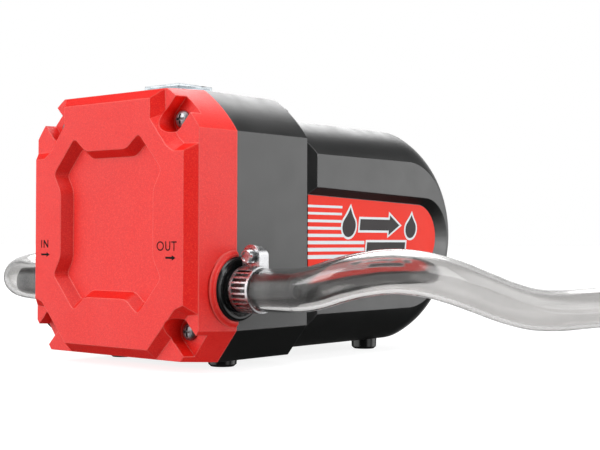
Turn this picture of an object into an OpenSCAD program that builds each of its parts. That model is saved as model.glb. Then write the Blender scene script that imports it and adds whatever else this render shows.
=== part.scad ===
// 12 V fluid transfer pump: a small gear pump driven by a brushed motor, in a
// two-tone plastic housing with a barbed port and a clear hose on each side.
// Millimetres. +X towards the outlet side, front cover towards -Y, +Z up.
// Origin: middle of the pump's footprint, on the surface its feet stand on.

/* [Housing] */
// width of the housing across its flat sides
body_w = 96; // [90:1:110]
// height of the top of the housing above the surface
body_top = 107; // [100:1:115]
// height of the underside of the housing above the surface
body_bot = 3; // [2:0.5:6]
// depth of the red front cover, from its raised face to the seam
cover_d = 23.2; // [20:0.1:30]
// depth from the raised face to the back of the middle housing
mid_d = 64.3; // [55:0.1:80]
// overall length of the pump
pump_len = 187; // [170:1:200]
// wall thickness of the plastic shells
wall = 3; // [2:0.1:4]
// depth of the step between the raised face and the corner ears
step_d = 4.2; // [3:0.1:6]

/* [Motor cover] */
// width of the motor cover across its raised side panels
mc_w = 90; // [80:1:94]
// radius of the flat side panel's round end
mc_r = 32.8; // [28:0.1:36]
// width of the rounded shoulder outside the side panel
mc_sh = 14.4; // [8:0.1:18]
// height of the middle of the motor cover above the surface
mc_z = 52; // [45:0.5:60]
// depth of the label recess
label_d = 3; // [1:0.5:4]
// radius of the label's round end, from which it widens a little forwards
label_r = 14.8; // [10:0.1:20]

/* [Pump] */
// height of the ports above the surface
port_z = 31.1; // [25:0.1:40]
// number of teeth on each pump gear
teeth = 11; // [9:1:14]
// gear module
gmod = 1.75; // [1.5:0.05:2]
// width of the pump gears
gear_w = 12; // [8:1:16]
// pump shaft radius
shaft_r = 3; // [2:0.5:4]

/* [Ports and hoses] */
// radius of the hose barb
barb_r = 5.9; // [4:0.1:8]
// distance of the barb's tip from the middle of the pump
barb_x = 78.3; // [70:0.1:90]
// radius of the port's flange
flange_r = 12.1; // [10:0.1:15]
// outside diameter of the hoses
hose_d = 16; // [12:0.5:20]
// thickness of the hose wall
hose_t = 1.75; // [1:0.25:3]
// radius of each stored coil at the middle of its turns
coil_r = 60; // [50:5:120]

/* [Motor] */
// outside radius of the motor
motor_r = 29; // [24:0.5:32]
// length of the motor can
motor_l = 88; // [70:1:100]

/* [Hidden] */
$fn = 64;

red = [0.86, 0.16, 0.12];
black = [0.09, 0.09, 0.09];
steel = [0.72, 0.72, 0.74];
yf = -pump_len / 2;               // where the raised front face lies
hw = body_w / 2;                  // half the housing's width
mh = mc_w / 2;                    // half the motor cover's width
seam = cover_d;
gp = gmod * teeth / 2;            // pitch radius of a pump gear
zd = port_z + gp;                 // height of the drive gear, shaft and motor
zi = port_z - gp;                 // height of the idler gear
ga = gp + gmod;                   // tip radius of a pump gear
gy0 = seam - gear_w / 2;          // front face of the gears
gy1 = seam + gear_w / 2;          // back face of the gears
bulk0 = 36; bulk1 = 40;           // the bulkhead that carries block and motor
my0 = bulk1;                      // front face of the motor
my1 = my0 + motor_l;              // back end of the motor can
mcy = pump_len - mc_r - mc_sh;    // middle of the motor cover's round end
scr_t = [33.3, 94.5];             // a top cover screw, x and z
scr_b = [37.5, 15.4];             // a bottom cover screw, x and z
hr = hose_d / 2;
sw_y = 39.2;                      // middle of the switch
mcs = [[28, 84], [29.6, 22]];     // motor cover screws, x and z
bls = [[28, 57], [22, 12]];       // screws through the bulkhead into the pump block, x and z

// ---- helpers -------------------------------------------------------------

// everything below is drawn with y = 0 on the raised front face
module at() { translate([0, yf, 0]) children(); }
module ycyl(r, y0, y1, x, z) { translate([x, y1, z]) rotate([90, 0, 0]) cylinder(r = r, h = y1 - y0); }
module xcyl(r, x0, x1, y, z) { translate([x0, y, z]) rotate([0, 90, 0]) cylinder(r = r, h = x1 - x0); }
module zcyl(r, z0, z1, x, y) { translate([x, y, z0]) cylinder(r = r, h = z1 - z0); }
// a slab with an outline drawn in x and z, from y0 to y1
module slab(y0, y1) { translate([0, y1, 0]) rotate([90, 0, 0]) linear_extrude(y1 - y0) children(); }
module sides() { children(); mirror([1, 0, 0]) children(); }
function mirx(p) = concat(p, [for (i = [len(p) - 1:-1:0]) [-p[i][0], p[i][1]]]);
function unit(v) = v / norm(v);
// one rounded corner at b, cut back by d along both edges, in n steps
function corner(a, b, c, d, n) = let (p = b + unit(a - b) * d, q = b + unit(c - b) * d)
  [for (i = [0:n]) let (t = i / n) (1 - t) * (1 - t) * p + 2 * t * (1 - t) * b + t * t * q];
function rounded(p, d, n) = [for (i = [0:len(p) - 1]) each
  corner(p[(i + len(p) - 1) % len(p)], p[i], p[(i + 1) % len(p)], d, n)];
// an outline moved inwards by d; the outline runs clockwise in x and z
function inset(p, d) = [for (i = [0:len(p) - 1])
  let (a = p[(i + len(p) - 1) % len(p)], b = p[i], c = p[(i + 1) % len(p)],
       u = unit(b - a), v = unit(c - b), nu = [u[1], -u[0]], nv = [v[1], -v[0]])
  b + (nu + nv) * d / (1 + nu * nv)];
// a solid skinned over a stack of equally long outlines, each [y, outline]
module skin(s) {
  n = len(s[0][1]); m = len(s); e = n * m;
  polyhedron(
    points = concat([for (k = [0:m - 1]) for (p = s[k][1]) [p[0], s[k][0], p[1]]],
      [[0, s[0][0], mc_z], [0, s[m - 1][0], mc_z]]),
    faces = concat(
      [for (i = [0:n - 1]) [e, i, (i + 1) % n]],
      [for (k = [0:m - 2]) for (i = [0:n - 1]) each
        let (a = k * n + i, b = k * n + (i + 1) % n, c = a + n, d = b + n) [[a, d, b], [a, c, d]]],
      [for (i = [0:n - 1]) [e + 1, e - n + (i + 1) % n, e - n + i]]),
    convexity = 10);
}
// points of a slightly bulged chamfer from a to b, n steps, bulge s
function bulge(a, b, s, n) = [for (i = [0:n]) let (t = i / n, d = b - a)
  a + d * t + [-d[1], d[0]] * 4 * s * t * (1 - t)];
// the housing's eight-sided outline, clockwise in x and z
function octagon(w, zb, zt, cx, cz, bx, bz, s = 0.05) = mirx(concat(
  bulge([w - cx, zt], [w, zt - cz], s, 12), [[w, zb + bz], [w - bx, zb]]));
function rim(i) = octagon(hw - i, body_bot + i, body_top - i, 17.4 - 0.4 * i, 16.6 - 0.4 * i, 9.9 - 0.4 * i, 12.4 - 0.4 * i);
face_rim = octagon(46.8, 4.5, 106.1, 17, 15.6, 9.2, 11.8);
// the raised face and its foot on the ears' level
face_a = mirx([[24.8, 102.3], [24.8, 94.6], [33.7, 84.2], [37.4, 82], [42.8, 81.9], [42.8, 25.6], [38.6, 24.1], [23.9, 8.3]]);
face_b = mirx([[28.9, 106.05], [29.4, 96.6], [36.2, 87.4], [39.2, 85], [46.75, 84.8], [46.75, 22.2], [41.4, 21.6], [24.6, 4.55]]);
// the sunk panel in the middle of the raised face
panel = [[11.8, 84], [18.7, 89.5], [31.3, 75.6], [26.9, 68.3], [26.9, 42.5], [31.3, 35.2], [18.7, 21.3], [11.8, 26.8],
  [-11.8, 26.8], [-18.7, 21.3], [-31.3, 35.2], [-26.9, 42.5], [-26.9, 68.3], [-31.3, 75.6], [-18.7, 89.5], [-11.8, 84]];

// an outline of one involute gear
function inv(a) = tan(a) * 180 / PI - a;
function gear_pts(z, m, pa, thin) = let (rp = m * z / 2, rb = rp * cos(pa), ra = rp + m, rr = rp - 1.25 * m,
    h = 90 / z * thin, r0 = max(rb, rr) + 0.01)
  [for (i = [0:z - 1]) let (c = i * 360 / z) each concat(
    [[rr, c - h - inv(pa) - 1.2]],
    [for (k = [0:5]) let (r = r0 + (ra - r0) * k / 5, a = h + inv(pa) - inv(acos(rb / r))) [r, c - a]],
    [for (k = [5:-1:0]) let (r = r0 + (ra - r0) * k / 5, a = h + inv(pa) - inv(acos(rb / r))) [r, c + a]],
    [[rr, c + h + inv(pa) + 1.2]])];
module gear2d(turn) {
  polygon([for (p = gear_pts(teeth, gmod, 26, 0.88)) [p[0] * cos(p[1] + turn), p[0] * sin(p[1] + turn)]]);
}

// ---- front cover -----------------------------------------------------------

// the slot in a corner ear, running from the screw out through the corner
module ear_slot(p, a) {
  w = 10.2;
  translate([p[0], 0, p[1]]) rotate([0, -a, 0]) {
    translate([0, -1, -w / 2]) cube([30, 10.7, w]);
    ycyl(w / 2 + 0.15, -1, 9.7, 0, 0);
  }
}
module ears() { sides() { ear_slot(scr_t, 45); ear_slot(scr_b, -45); } }
module ear_block(y0, y1, g) {
  sides() for (q = [[scr_t, 45], [scr_b, -45]]) {
    ycyl(5.35 + g, y0, y1, q[0][0], q[0][1]);
    translate([q[0][0], y0, q[0][1]]) rotate([0, -q[1], 0]) translate([0, 0, -5.1 - g]) cube([30, y1 - y0, 10.2 + 2 * g]);
  }
}
// the raised collar round a port on the cover's side wall, up to the seam
module port_collar() intersection() {
  translate([hw - 0.6, seam, port_z]) rotate([0, 90, 0]) rotate_extrude()
    polygon([[11, 0], [14.6, 0], [14.6, 0.6], [14.2, 0.7], [13.8, 0.95], [13.5, 1.25], [13.2, 1.5], [12.8, 1.6], [11, 1.6]]);
  translate([30, 0, 10]) cube([30, seam, 45]);
}
module front_cover() color(red) at() difference() {
  union() {
    skin([[0, face_a], [step_d + 0.05, face_b]]);
    skin([[step_d, face_rim], [seam, rim(0)]]);
    sides() port_collar();
  }
  skin([[-0.5, rounded(inset(panel, -0.3), 2.1, 4)], [4.5, rounded(inset(panel, 2.7), 2.1, 4)]]);
  ears();
  // the hollow behind the face, leaving a column round each screw
  difference() {
    slab(7.6, seam + 1) polygon(rim(wall + 0.6));
    ear_block(7, seam + 2, 2.4);
  }
  // the step that the gasket lies in
  slab(seam - 1.1, seam + 1) polygon(rim(1.4));
  for (s = [-1, 1]) {
    ycyl(1.9, 5, seam + 1, s * scr_t[0], scr_t[1]);
    ycyl(1.9, 5, seam + 1, s * scr_b[0], scr_b[1]);
  }
  sides() xcyl(flange_r + 0.1, hw - 11.4, hw + 3, seam, port_z);
  sides() xcyl(9.4, 30, hw, seam, port_z);
}
module cover_gasket() color([0.15, 0.15, 0.15]) at() difference() {
  slab(seam - 1.08, seam - 0.02) polygon(rim(1.5));
  difference() {
    slab(seam - 2, seam + 1) polygon(rim(wall + 0.6));
    ear_block(seam - 3, seam + 2, 2.4);
  }
  for (s = [-1, 1]) for (p = [scr_t, scr_b]) ycyl(1.9, seam - 2, seam + 1, s * p[0], p[1]);
  sides() translate([hw - 20, seam - 3, port_z - flange_r - 0.4]) cube([22, 6, 2 * flange_r + 0.8]);
}
module pan_screw(hd, hh, d, l) {
  // head towards +Z at z = 0..hh, shank below
  difference() {
    union() {
      rotate_extrude() polygon(concat([[0, 0], [hd / 2, 0], [hd / 2, hh * 0.35]],
        [for (i = [1:5]) [hd / 2 * cos(i * 15), hh * 0.35 + hh * 0.65 * sin(i * 15)]], [[0, hh]]));
      translate([0, 0, -l]) cylinder(d = d, h = l + 0.01);
    }
    for (a = [0, 90]) rotate(a) translate([-hd * 0.31, -0.45, hh * 0.45]) cube([hd * 0.62, 0.9, hh]);
  }
}
module y_screw(x, y, z, hd, hh, d, l) { translate([x, y, z]) rotate([90, 0, 0]) pan_screw(hd, hh, d, l); }
module cover_screws() color(steel) at() for (s = [-1, 1]) {
  y_screw(s * scr_t[0], 9.7, scr_t[1], 6.6, 2.4, 3.4, 24);
  y_screw(s * scr_b[0], 9.7, scr_b[1], 6.6, 2.4, 3.4, 24);
}
module cover_inserts() color([0.78, 0.62, 0.3]) at() for (s = [-1, 1]) for (p = [scr_t, scr_b])
  difference() {
    ycyl(2.9, seam + 2, seam + 11, s * p[0], p[1]);
    ycyl(1.71, seam, seam + 12, s * p[0], p[1]);
  }

// ---- middle housing -----------------------------------------------------------

module mid_housing() color(black) at() difference() {
  slab(seam, mid_d) polygon(rim(0));
  // front room with the columns for the cover screws
  difference() {
    slab(seam - 1, bulk0) polygon(rim(wall));
    ear_block(seam - 2, bulk0 + 1, 1.4);
  }
  slab(bulk1, mid_d - wall) polygon(rim(wall));
  // opening in the back wall for the motor
  slab(mid_d - wall - 1, mid_d + 1) polygon(mirx([[20, 92], [29, 78], [32, 66], [32, 30], [24, 12], [14, 9.5]]));
  // way through the bulkhead for the switch and its leads
  slab(bulk0 - 1, bulk1 + 1) translate([-16, 76]) square([32, body_top - wall - 76]);
  ycyl(9.1, bulk0 - 1, bulk1 + 1, 0, zd);
  for (a = [45, 135]) {
    ycyl(3.1, bulk0 - 1, bulk0 + 2.4, 18 * cos(a), zd + 18 * sin(a));
    ycyl(1.5, bulk0 - 1, bulk1 + 1, 18 * cos(a), zd + 18 * sin(a));
  }
  for (s = [-1, 1]) {
    for (p = bls) ycyl(1.7, bulk0 - 1, bulk1 + 1, s * p[0], p[1]);
    for (p = [scr_t, scr_b]) ycyl(2.91, seam - 1, seam + 11.1, s * p[0], p[1]);
    for (p = mcs) ycyl(1.7, mid_d - wall - 1, mid_d + 1, s * p[0], p[1]);
  }
  sides() xcyl(flange_r + 0.1, 40, hw + 3, seam, port_z);
  sides() xcyl(9.4, 30, hw, seam, port_z);
  // switch opening in the top
  translate([-8.6, sw_y - 8, body_top - 6]) cube([17.2, 16, 8]);
  for (s = [-1, 1]) zcyl(1.4, 2, 7, s * 29, 35.5);
}

// ---- motor cover -----------------------------------------------------------

// half the motor cover's section: radius from the middle height against half width
function mc_half(i) = concat([[0, mh - i], [mc_r - 0.3 * i, mh - i]],
  [for (k = [1:12]) let (t = k / 12, r = mc_r - 0.3 * i + (mc_sh - 0.7 * i) * t) 
    [r + 1.1 * 4 * t * (1 - t), mh - i - (14.5 - 0.3 * i) * t + 1.1 * 4 * t * (1 - t)]],
  [[mc_r + mc_sh - i, 0]]);
function mc_section(i) = let (h = mc_half(i), n = len(h)) concat(
  [for (k = [n - 2:-1:1]) [h[k][1], mc_z - h[k][0]]], [for (k = [1:n - 2]) [h[k][1], mc_z + h[k][0]]]);
// the same section all round, y0 to the middle of the round end
module mc_body(i, y0) {
  slab(y0, mcy) polygon(concat(mc_section(i), [for (k = [len(mc_section(i)) - 1:-1:0]) [-mc_section(i)[k][0], mc_section(i)[k][1]]]));
  translate([0, mcy, mc_z]) rotate([0, 90, 0]) rotate([0, 0, 0]) intersection() {
    rotate_extrude($fn = 96) polygon(concat([for (p = mc_half(i)) p], [for (k = [len(mc_half(i)) - 1:-1:0]) [mc_half(i)[k][0], -mc_half(i)[k][1]]]));
    translate([-60, 0, -60]) cube([120, 60, 120]);
  }
}
function stadium(r, y0, yc, z, n) = let (g = 0.029 * (yc - y0)) concat([[y0, z - r - g], [y0, z + r + g]], [for (i = [0:n]) [yc + r * sin(i * 180 / n), z + r * cos(i * 180 / n)]]);
// the label's recess with sloping walls, the rear one shallow, open towards the front
module recess(g) {
  hull() {
    translate([mh + 0.02, 0, 0]) rotate([90, 0, 90]) linear_extrude(1) polygon(stadium(label_r + label_d, 40, pump_len - 18.5 - label_r, mc_z - 0.8, 24));
    translate([mh - label_d + g, 0, 0]) rotate([90, 0, 90]) linear_extrude(0.01) polygon(stadium(label_r, 40, pump_len - 21.5 - label_r, mc_z - 0.8, 24));
  }
}
module front_slope(g) {
  translate([mh, mid_d + 10.4 + g, -10]) rotate([0, 0, 45]) translate([-30, -60, 0]) cube([60, 60, 140]);
}
module motor_cover() color(black) at() difference() {
  mc_body(0, mid_d);
  // sloping side faces at the front
  sides() front_slope(0);
  difference() {
    mc_body(wall + 0.2, mid_d - 2);
    sides() front_slope(wall + 1.4);
    for (s = [-1, 1]) for (p = mcs) ycyl(3.6, mid_d - 3, mid_d + 16, s * p[0], p[1]);
    // pads behind the label recesses
    sides() translate([mh - label_d - wall, mid_d - 3, mc_z - label_r - 6]) cube([20, pump_len, 2 * label_r + 12]);
  }
  sides() recess(0);
  for (s = [-1, 1]) for (p = mcs) ycyl(1.3, mid_d - 1, mid_d + 13, s * p[0], p[1]);
  zcyl(3.1, 90, 102, 0, 103);
  for (s = [-1, 1]) zcyl(1.4, 2, 9, s * 24, 134.4);
}
module motor_cover_screws() color(steel) at() for (s = [-1, 1]) for (p = mcs)
  y_screw(s * p[0], mid_d - wall, p[1], 6, 2, 2.6, 14);
module label_face(s) {
  translate([s > 0 ? mh - label_d : -mh + label_d - 0.4, 0, 0]) rotate([90, 0, 90]) linear_extrude(0.4)
    polygon(stadium(label_r - 0.25, mid_d + 7.45, pump_len - 21.5 - label_r, mc_z - 0.8, 24));
}
module label_right() color([0.9, 0.3, 0.2]) at() label_face(1);
module label_left() color([0.9, 0.3, 0.2]) at() label_face(-1);

// ---- pump head ------------------------------------------------------------------

plate_pts = [[-25, 15], [25, 15], [-25, 52], [25, 52]];
head = mirx([[31, 59.4], [31, 27.6], [28.2, 24.8], [28.2, 7.4]]);
module pump_block() color([0.7, 0.71, 0.73]) at() difference() {
  slab(gy0 - 0.1, bulk0) polygon(head);
  ycyl(ga + 0.07, gy0 - 1, gy1 + 0.1, 0, zd);
  ycyl(ga + 0.07, gy0 - 1, gy1 + 0.1, 0, zi);
  translate([-5, gy0 - 1, zi]) cube([10, gear_w + 1.1, 2 * gp]);
  // inlet and outlet ways, widening beside the teeth
  xcyl(2.6, -26, 26, seam, port_z);
  for (s = [-1, 1]) translate([s * 9.5 - 3.5, gy0 + 0.6, port_z - 5]) cube([7, gear_w - 1.2, 10]);
  sides() xcyl(5.85, 24, 32, seam, port_z);
  ycyl(shaft_r + 0.04, gy1, bulk0 + 1, 0, zd);
  ycyl(6.05, bulk0 - 4, bulk0 + 1, 0, zd);
  ycyl(2.5, gy1, bulk0 - 3, 0, zi);
  for (p = plate_pts) ycyl(1.6, gy0 - 1, gy0 + 11, p[0], p[1]);
  for (s = [-1, 1]) for (p = bls) ycyl(1.3, bulk0 - 7, bulk0 + 1, s * p[0], p[1]);
}
module pump_plate() color([0.66, 0.67, 0.7]) at() difference() {
  slab(gy0 - 4.2, gy0 - 0.7) polygon(head);
  ycyl(2.51, gy0 - 3.2, gy0, 0, zi);
  ycyl(shaft_r + 0.05, gy0 - 3.2, gy0, 0, zd);
  for (p = plate_pts) ycyl(1.9, gy0 - 6, gy0, p[0], p[1]);
}
module plate_gasket() color([0.2, 0.25, 0.2]) at() difference() {
  slab(gy0 - 0.7, gy0 - 0.1) polygon(head);
  ycyl(ga + 0.3, gy0 - 2, gy0 + 1, 0, zd);
  ycyl(ga + 0.3, gy0 - 2, gy0 + 1, 0, zi);
  translate([-6, gy0 - 2, zi]) cube([12, 3, 2 * gp]);
  for (p = plate_pts) ycyl(1.9, gy0 - 6, gy0 + 1, p[0], p[1]);
}
module plate_screws() color(steel) at() for (p = plate_pts) y_screw(p[0], gy0 - 4.2, p[1], 6, 2, 3.2, 14);
module drive_gear() color([0.6, 0.6, 0.62]) at() difference() {
  translate([0, gy1, zd]) rotate([90, 0, 0]) linear_extrude(gear_w) gear2d(-90);
  ycyl(shaft_r, gy0 - 1, gy1 + 1, 0, zd);
  translate([-1, gy0 - 1, zd]) cube([2, gear_w + 2, shaft_r + 1.3]);
}
module gear_key() color(steel) at() translate([-1, gy0 + 1, zd + shaft_r - 1.2]) cube([2, gear_w - 2, 2.4]);
module idler_gear() color([0.6, 0.6, 0.62]) at() difference() {
  translate([0, gy1, zi]) rotate([90, 0, 0]) linear_extrude(gear_w) gear2d(90 + 180 / teeth);
  ycyl(2.54, gy0 - 1, gy1 + 1, 0, zi);
}
module idler_pin() color(steel) at() ycyl(2.5, gy0 - 3.2, bulk0 - 3, 0, zi);
module motor_shaft() color(steel) at() difference() {
  union() {
    ycyl(shaft_r, gy0 - 3, my1 + 4, 0, zd);
    ycyl(shaft_r + 0.9, my0 + 11, my0 + 13, 0, zd);
  }
  translate([-1, gy0 + 1, zd + shaft_r - 1.2]) cube([2, gear_w - 2, 3]);
}
module shaft_seal() color([0.12, 0.12, 0.12]) at() difference() {
  ycyl(6, bulk0 - 4, bulk0 - 0.2, 0, zd);
  ycyl(shaft_r + 0.05, bulk0 - 5, bulk0, 0, zd);
  ycyl(4.6, bulk0 - 2.4, bulk0, 0, zd);
}
module block_screws() color(steel) at() for (s = [-1, 1]) for (p = bls)
  translate([s * p[0], bulk1, p[1]]) rotate([-90, 0, 0]) pan_screw(6, 2, 2.6, 10);

// ---- ports, clamps and hoses ---------------------------------------------------

module port(s) {
  at() mirror([s > 0 ? 0 : 1, 0, 0]) difference() {
    union() {
      xcyl(5.8, 24.2, 46, seam, port_z);
      xcyl(9.2, 33.8, 46, seam, port_z);
      translate([44.9, seam, port_z]) rotate([0, 90, 0]) rotate_extrude()
        polygon([[0, 0], [flange_r, 0], [flange_r, 4.2], [flange_r - 0.35, 4.85], [flange_r - 1, 5.25], [flange_r - 1.7, 5.38], [0, 5.38]]);
      xcyl(barb_r, 49, barb_x - 1, seam, port_z);
      translate([barb_x - 1.01, seam, port_z]) rotate([0, 90, 0]) cylinder(r1 = barb_r, r2 = barb_r - 0.9, h = 1.01);
      xcyl(barb_r + 1.2, 49, 50.2, seam, port_z);
    }
    xcyl(2.1, 20, barb_x + 1, seam, port_z);
    translate([barb_x - 0.7, seam, port_z]) rotate([0, 90, 0]) cylinder(r1 = 2.1, r2 = 2.8, h = 0.72);
  }
}
module inlet_port() color(black) port(-1);
module outlet_port() color(black) port(1);
module port_seals() color([0.1, 0.1, 0.1]) at() sides() translate([32.5, seam, port_z]) rotate([0, 90, 0])
  rotate_extrude() translate([7.8, 0]) circle(r = 1.2, $fn = 24);
cb0 = 51.8; cb1 = 61; cbm = 56.4;      // the clamp band's edges and middle
csz = port_z + 12.4;                   // height of the clamp screw
module clamp_band(s) {
  at() mirror([s > 0 ? 0 : 1, 0, 0]) difference() {
    xcyl(8.75, cb0, cb1, seam, port_z);
    xcyl(8.08, cb0 - 1, cb1 + 1, seam, port_z);
    for (i = [0:21]) translate([cbm, seam, port_z]) rotate([i * 13.6 + 37, 0, 0]) translate([0, 0, 6]) cube([7, 1.35, 8], center = true);
  }
}
// the folded bridge that holds the worm screw on the band, round over its back
module clamp_bridge(s) {
  at() mirror([s > 0 ? 0 : 1, 0, 0]) difference() {
    union() {
      translate([cb0 + 0.3, seam - 1.5, port_z + 6.5]) cube([cb1 - cb0 - 0.6, 5.1, 5.9]);
      ycyl(4.3, seam - 1.5, seam, cbm, csz);
      intersection() {
        xcyl(4.25, cb0 + 0.3, cb1 - 0.3, seam - 0.65, csz + 0.05);
        translate([cb0, seam - 0.65, csz - 8]) cube([12, 8, 16]);
        union() {
          ycyl(4.35, seam - 2, seam + 8, cbm, csz);
          translate([cb0, seam - 2, csz - 10]) cube([12, 12, 10]);
        }
      }
    }
    xcyl(8.8, cb0 - 1, cb1 + 1, seam, port_z);
    ycyl(2.85, seam - 3, seam + 2, cbm, csz);
  }
}
module clamp_screw(s) {
  at() mirror([s > 0 ? 0 : 1, 0, 0]) difference() {
    union() {
      ycyl(2.2, seam - 3, seam + 1.8, cbm, csz);
      for (i = [0:2]) translate([cbm, seam - 1.2 + i * 1.2, csz]) rotate([90, 0, 0]) rotate_extrude()
        polygon([[1.5, -0.55], [2.2, -0.55], [2.75, -0.12], [2.75, 0.12], [2.2, 0.55], [1.5, 0.55]]);
      translate([cbm, seam - 1.9, csz]) rotate([90, 0, 0]) rotate_extrude()
        polygon([[0, 0], [2.55, 0], [2.55, 2.1], [2.25, 2.6], [0, 2.6]]);
    }
    ycyl(1.75, seam - 5, seam - 4, cbm, csz);
    translate([cbm - 4, seam - 5, csz - 0.45]) cube([8, 1.7, 0.9]);
  }
}
module inlet_clamp_band() color(steel) clamp_band(-1);
module outlet_clamp_band() color(steel) clamp_band(1);
module inlet_clamp_bridge() color([0.8, 0.8, 0.82]) clamp_bridge(-1);
module outlet_clamp_bridge() color([0.8, 0.8, 0.82]) clamp_bridge(1);
module inlet_clamp_screw() color(steel) clamp_screw(-1);
module outlet_clamp_screw() color(steel) clamp_screw(1);

// a smooth curve through hand-placed points
function cr(a, b, c, d, t) = 0.5 * ((2 * b) + (c - a) * t + (2 * a - 5 * b + 4 * c - d) * t * t + (3 * b - 3 * c + d - a) * t * t * t);
function smooth(p, n) = let (m = len(p)) concat(
  [for (i = [0:m - 2]) for (k = [0:n - 1]) cr(p[max(i - 1, 0)], p[i], p[i + 1], p[min(i + 2, m - 1)], k / n)], [p[m - 1]]);
// a hollow tube swept along points, ns sides, ring plane kept upright
module tube(p, ro, ri, ns) {
  m = len(p);
  function dir(i) = unit(p[min(i + 1, m - 1)] - p[max(i - 1, 0)]);
  function ring(i, r) = let (t = dir(i), u = unit(cross([0, 0, 1], t)), v = cross(t, u))
    [for (k = [0:ns - 1]) p[i] + r * (cos(k * 360 / ns) * u + sin(k * 360 / ns) * v)];
  polyhedron(
    points = concat([for (i = [0:m - 1]) each ring(i, ro)], [for (i = [0:m - 1]) each ring(i, ri)]),
    faces = concat(
      [for (i = [0:m - 2]) for (k = [0:ns - 1]) each let (a = i * ns + k, b = i * ns + (k + 1) % ns) [[a, b + ns, b], [a, a + ns, b + ns]]],
      [for (i = [0:m - 2]) for (k = [0:ns - 1]) each let (a = (m + i) * ns + k, b = (m + i) * ns + (k + 1) % ns) [[a, b, b + ns], [a, b + ns, a + ns]]],
      [for (k = [0:ns - 1]) each let (a = k, b = (k + 1) % ns, c = m * ns + k, d = m * ns + (k + 1) % ns) [[a, b, d], [a, d, c]]],
      [for (k = [0:ns - 1]) each let (o = (m - 1) * ns, a = o + k, b = o + (k + 1) % ns, c = m * ns + o + k, d = m * ns + o + (k + 1) % ns) [[a, d, b], [a, c, d]]]),
    convexity = 10);
}
// routes, y measured from the raised face; the ends run straight out of the flange
in_coil = [-115.4, 146.4];
out_coil = [212.8, 149.6];
in_route = [[-50.3, seam, port_z], [-64, seam, port_z], [-76.2, seam + 0.1, port_z + 0.2], [-87.4, 26.8, 32.2], [-95.6, 35, 33.8],
  [-99.2, 46.8, 35.4], [-97.4, 58.8, 35.8], [-92, 69, 34.8], [-86, 79, 32.6], [-80, 88.8, 29.8], [-74.2, 98.2, 27], [-68.6, 107.6, 24.9], [-63, 117.3, 24.2]];
out_route = [[50.3, seam, port_z], [64, seam, port_z], [78, seam + 0.1, port_z + 0.4], [86, 24.1, 32.8], [93.5, 26.2, 35.2], [101.6, 30.2, 37.4],
  [109.8, 36.8, 38.6], [117, 46, 37.6], [121.8, 58.6, 34.4], [124.2, 72, 30.6], [126.6, 86, 26.6], [129.2, 100, 23.6], [132, 115, 22.4],
  [135.6, 129.8, 22.6], [141, 143.6, 23.2], [147.2, 156.2, 23.8], [153.8, 168, 24.2], [160.8, 179.6, 24.2]];
module hose_tube(p) { at() tube(smooth(p, 2), hr, hr - hose_t, 12); }
module coil(c, turns) {
  at() translate([c[0], c[1], 0]) rotate_extrude($fn = 72) translate([coil_r, 0.2]) {
    translate([0, hr]) circle(r = hr, $fn = 20);
    translate([0, hr * (2 * turns - 1)]) circle(r = hr, $fn = 20);
    translate([-hr, hr]) square([hose_d, hose_d * (turns - 1)]);
  }
}
clear = [0.85, 0.88, 0.9, 0.5];
module inlet_hose() color(clear) hose_tube(in_route);
module outlet_hose() color(clear) hose_tube(out_route);
module inlet_coil() color(clear) coil(in_coil, 2);
module outlet_coil() color(clear) coil(out_coil, 2);

// ---- motor ---------------------------------------------------------------------------

module motor_can() color([0.5, 0.5, 0.52]) at() difference() {
  ycyl(motor_r, my0, my1, 0, zd);
  ycyl(motor_r - 2, my0 + 2.5, my1 + 1, 0, zd);
  ycyl(8, my0 - 1, my0 + 4, 0, zd);
  for (a = [45, 135]) ycyl(1.3, my0 - 1, my0 + 4, 18 * cos(a), zd + 18 * sin(a));
}
module motor_magnets() color([0.2, 0.2, 0.22]) at() intersection() {
  difference() {
    ycyl(motor_r - 2.05, my0 + 18, my0 + 62, 0, zd);
    ycyl(motor_r - 8, my0 + 17, my0 + 63, 0, zd);
  }
  union() for (s = [-1, 1]) translate([s > 0 ? 8 : -40, my0 + 10, zd - 20]) cube([32, 60, 40]);
}
module motor_end_cap() color([0.14, 0.14, 0.15]) at() difference() {
  union() { ycyl(motor_r, my1 + 0.02, my1 + 4, 0, zd); ycyl(motor_r - 2.05, my1 - 3, my1 + 1, 0, zd); ycyl(11, my1 + 3, my1 + 9, 0, zd); }
  ycyl(motor_r - 5, my1 - 4, my1 - 1, 0, zd);
  ycyl(8, my1 - 4, my1 + 6, 0, zd);
}
module bearing(y) {
  at() difference() {
    ycyl(7.98, y, y + 5, 0, zd);
    ycyl(shaft_r + 0.03, y - 1, y + 6, 0, zd);
    difference() { ycyl(6.7, y + 4.2, y + 6, 0, zd); ycyl(4.4, y + 4, y + 6, 0, zd); }
    difference() { ycyl(6.7, y - 1, y + 0.8, 0, zd); ycyl(4.4, y - 1, y + 0.9, 0, zd); }
  }
}
module front_bearing() color(steel) bearing(my0);
module rear_bearing() color(steel) bearing(my1 + 0.6);
module armature_core() color([0.45, 0.45, 0.47]) at() difference() {
  ycyl(20.4, my0 + 20, my0 + 60, 0, zd);
  ycyl(shaft_r, my0 + 19, my0 + 61, 0, zd);
  for (i = [0:7]) translate([0, my0 + 19, zd]) rotate([0, i * 45, 0]) {
    translate([-1, 0, 12]) cube([2, 42, 12]);
    translate([0, 42, 13.2]) rotate([90, 0, 0]) cylinder(r = 4, h = 42);
  }
}
module armature_windings() color([0.72, 0.38, 0.16]) at() {
  for (i = [0:7]) translate([0, my0 + 15, zd]) rotate([0, i * 45, 0]) translate([0, 50, 13.2]) rotate([90, 0, 0]) cylinder(r = 3.6, h = 50);
  for (y = [my0 + 13.5, my0 + 61]) difference() { ycyl(17, y, y + 5.5, 0, zd); ycyl(9, y - 1, y + 6.5, 0, zd); }
}
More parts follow.
